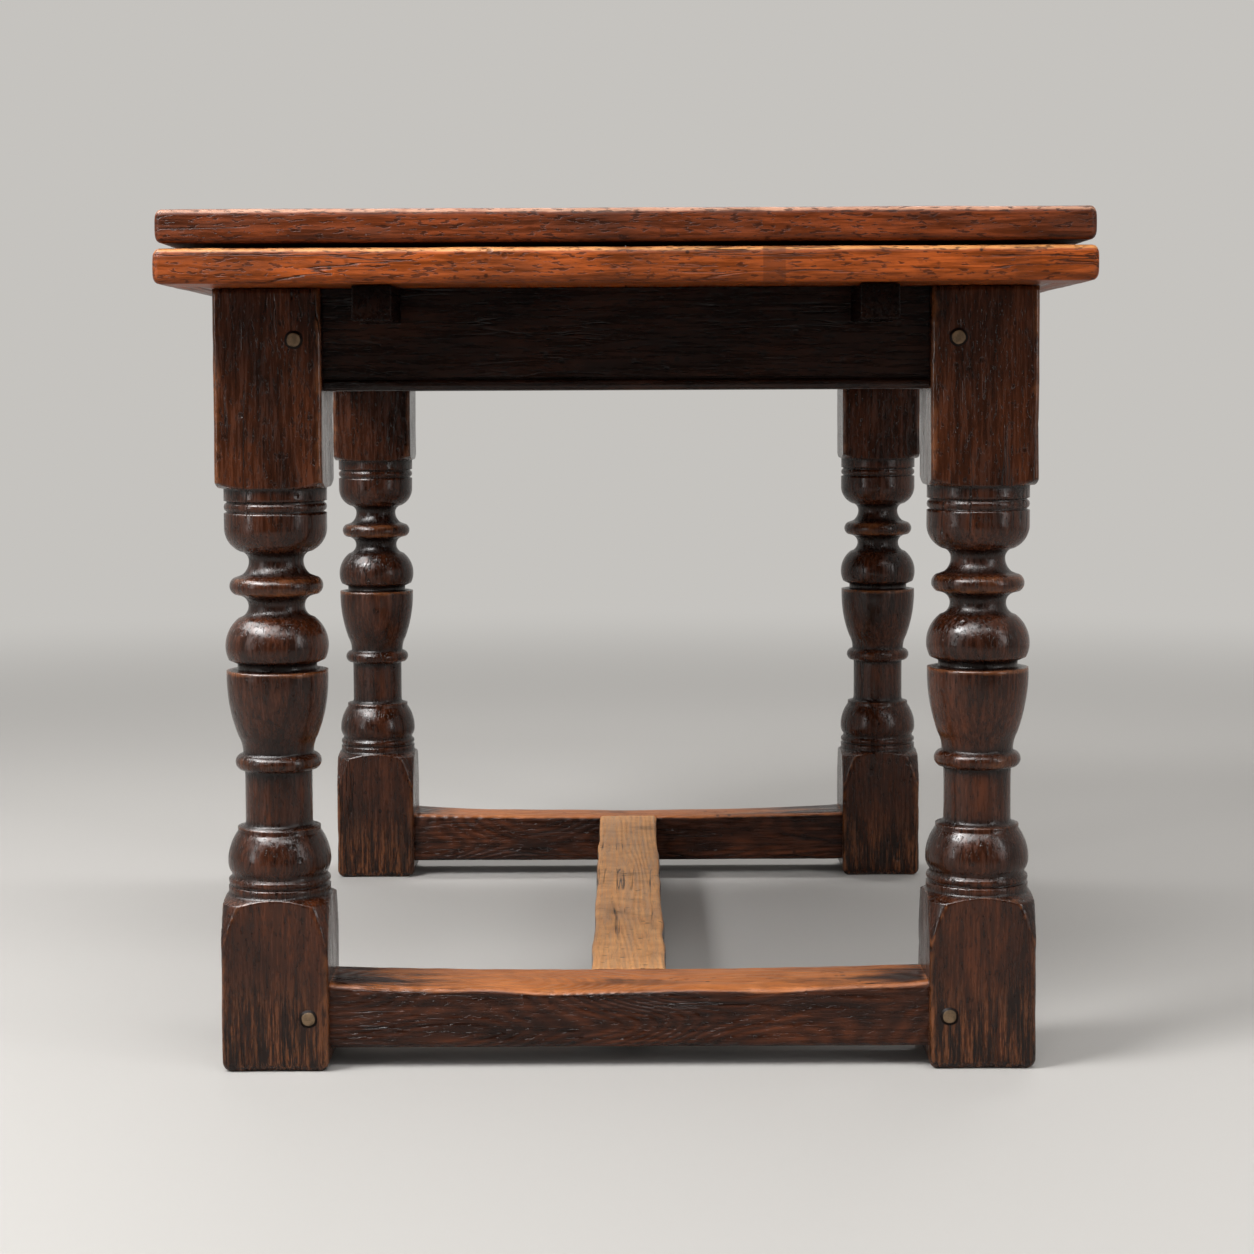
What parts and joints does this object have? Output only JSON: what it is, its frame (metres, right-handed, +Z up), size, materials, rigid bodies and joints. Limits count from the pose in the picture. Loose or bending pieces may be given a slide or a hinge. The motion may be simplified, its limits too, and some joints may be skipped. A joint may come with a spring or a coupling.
{
  "type": "draw-leaf table",
  "caption": "Old oak draw-leaf dining table with turned legs on square blocks, a low H stretcher, and leaves on sliding bearers that draw out from under a loose lift-off top.",
  "frame": {"origin": "on the floor under the middle of the closed table", "axes": "+Z up, +Y along the table's length with the pictured end at -Y, +X across its width"},
  "size_m": [0.802, 1.208, 0.762],
  "materials": {
    "frame_oak": "dark, waxed, worn",
    "stretcher_oak": "dark, waxed, tops worn pale",
    "top_oak": "red-brown, waxed",
    "leaf_oak": "orange-brown, waxed",
    "peg_oak": "pale end grain"
  },
  "bodies": {
    "frame": {"apron_back": "frame_oak", "apron_front": "frame_oak", "apron_left": "frame_oak", "apron_pegs": "peg_oak", "apron_right": "frame_oak", "centre_board": "frame_oak", "centre_board_pegs": "peg_oak", "keeper_rail_back": "frame_oak", "keeper_rail_front": "frame_oak", "leg_back_left": "frame_oak", "leg_back_right": "frame_oak", "leg_front_left": "frame_oak", "leg_front_right": "frame_oak", "stretcher_back": "stretcher_oak", "stretcher_centre": "stretcher_oak", "stretcher_front": "stretcher_oak", "stretcher_pegs": "peg_oak"},
    "leaf_back": {"leaf_back_cleat_pegs": "peg_oak", "leaf_back_inner_cleat": "leaf_oak", "leaf_back_loper_left": "frame_oak", "leaf_back_loper_pegs": "peg_oak", "leaf_back_loper_right": "frame_oak", "leaf_back_outer_cleat": "leaf_oak", "leaf_back_plank_1": "leaf_oak", "leaf_back_plank_2": "leaf_oak", "leaf_back_plank_3": "leaf_oak", "leaf_back_plank_4": "leaf_oak", "leaf_back_stop_pegs": "peg_oak"},
    "leaf_front": {"leaf_front_cleat_pegs": "peg_oak", "leaf_front_inner_cleat": "leaf_oak", "leaf_front_loper_left": "frame_oak", "leaf_front_loper_pegs": "peg_oak", "leaf_front_loper_right": "frame_oak", "leaf_front_outer_cleat": "leaf_oak", "leaf_front_plank_1": "leaf_oak", "leaf_front_plank_2": "leaf_oak", "leaf_front_plank_3": "leaf_oak", "leaf_front_plank_4": "leaf_oak", "leaf_front_stop_pegs": "peg_oak"},
    "top": {"top_cleat_back": "top_oak", "top_cleat_front": "top_oak", "top_cleat_pegs": "peg_oak", "top_guide_pegs": "peg_oak", "top_plank_1": "top_oak", "top_plank_2": "top_oak", "top_plank_3": "top_oak", "top_plank_4": "top_oak"}
  },
  "joints": [
    {"name": "leaf_front_draw", "type": "slide", "parent": "frame", "child": "leaf_front", "axis": [0, -1, 0], "range_m": [0, 0.502]},
    {"name": "leaf_back_draw", "type": "slide", "parent": "frame", "child": "leaf_back", "axis": [0, 1, 0], "range_m": [0, 0.502]},
    {"name": "top_lift", "type": "slide", "parent": "frame", "child": "top", "axis": [0, 0, 1], "range_m": [0, 0.07]}
  ]
}
